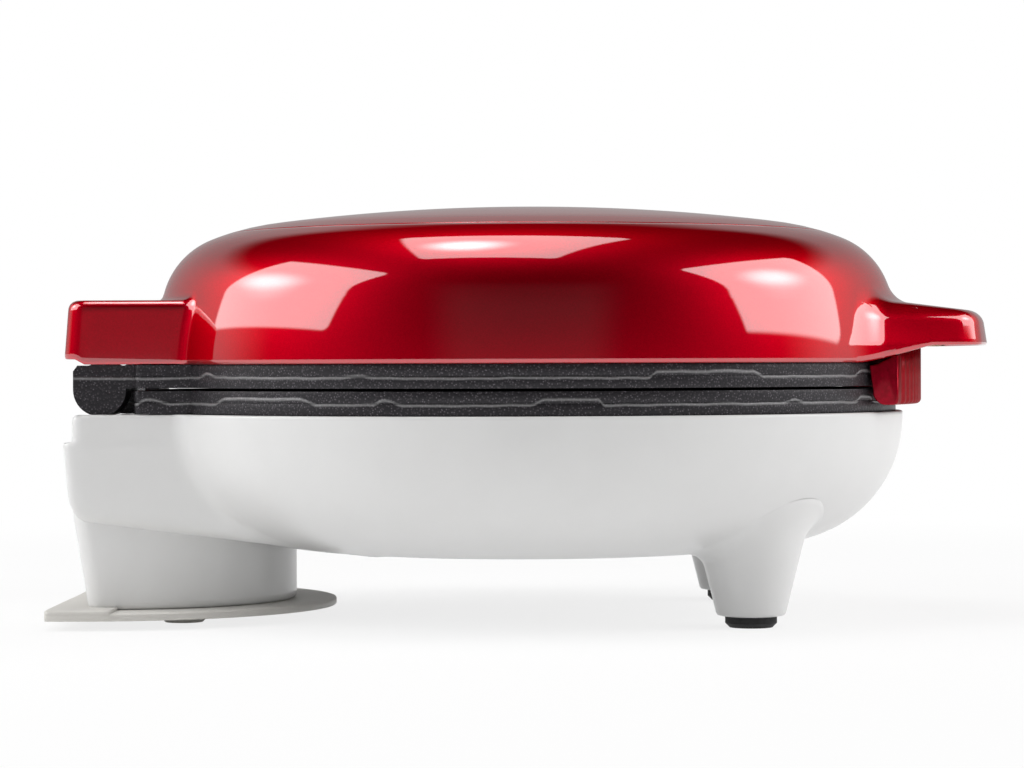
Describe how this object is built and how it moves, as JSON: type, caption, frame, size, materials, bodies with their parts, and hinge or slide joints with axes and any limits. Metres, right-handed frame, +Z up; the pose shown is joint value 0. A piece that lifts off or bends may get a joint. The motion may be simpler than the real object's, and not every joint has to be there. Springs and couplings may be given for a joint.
{
  "type": "donut maker",
  "caption": "Round table-top donut maker: a hinged red dome lid and a white footed base close over two non-stick ring mould plates, with a front handle and latch.",
  "frame": {"origin": "on the table plane, under the middle of the whole object's box", "axes": "+X toward the handle at the front, +Z up, +Y completes the right-handed frame; the hinge axis runs along Y behind the plates"},
  "size_m": [0.2592, 0.2132, 0.1155],
  "materials": {
    "white_housing": "polished white heat-resistant moulding",
    "ivory_flange": "satin warm white moulding",
    "zinc_screws": "zinc plated",
    "rubber": "matt black",
    "nonstick_casting": "die-cast, dark speckled non-stick coat",
    "heater_tube": "dull sheath",
    "aluminised_steel": "bright pressed sheet",
    "thermostat_metal": "bright",
    "terminal_ceramic": "unglazed",
    "pin_steel": "ground",
    "red_metallic": "metallic red under clear lacquer",
    "red_lens": "clear tinted",
    "green_lens": "clear tinted",
    "lamp_glass": "neon lamps",
    "red_latch": "dark red moulding, fluted front"
  },
  "bodies": {
    "base": {"lower_housing": "white_housing", "cord_wrap_plate": "ivory_flange", "wrap_plate_screws": "zinc_screws", "front_foot_pads": "rubber", "rear_foot_pads": "rubber", "cord_gland": "rubber", "lower_plate": "nonstick_casting", "lower_heater": "heater_tube", "lower_reflector": "aluminised_steel", "lower_plate_screws": "zinc_screws", "thermostat": "thermostat_metal", "thermostat_screws": "zinc_screws", "thermal_fuse": "heater_tube", "terminal_block": "terminal_ceramic", "hinge_pins": "pin_steel"},
    "lid": {"lid_shell": "red_metallic", "lid_cap": "red_metallic", "upper_plate": "nonstick_casting", "upper_heater": "heater_tube", "upper_reflector": "aluminised_steel", "upper_plate_screws": "zinc_screws", "power_lamp_lens": "red_lens", "ready_lamp_lens": "green_lens", "indicator_lamps": "lamp_glass", "latch_pins": "pin_steel"},
    "latch": {"latch": "red_latch"}
  },
  "joints": [
    {"name": "lid_hinge", "type": "hinge", "parent": "base", "child": "lid", "pos_m": [-0.1161, 0, 0.0645], "axis": [0, -1, 0], "range_deg": [0, 90]},
    {"name": "latch_pivot", "type": "hinge", "parent": "lid", "child": "latch", "pos_m": [0.1029, 0, 0.0795], "axis": [0, -1, 0], "range_deg": [-3.5, 12]}
  ]
}
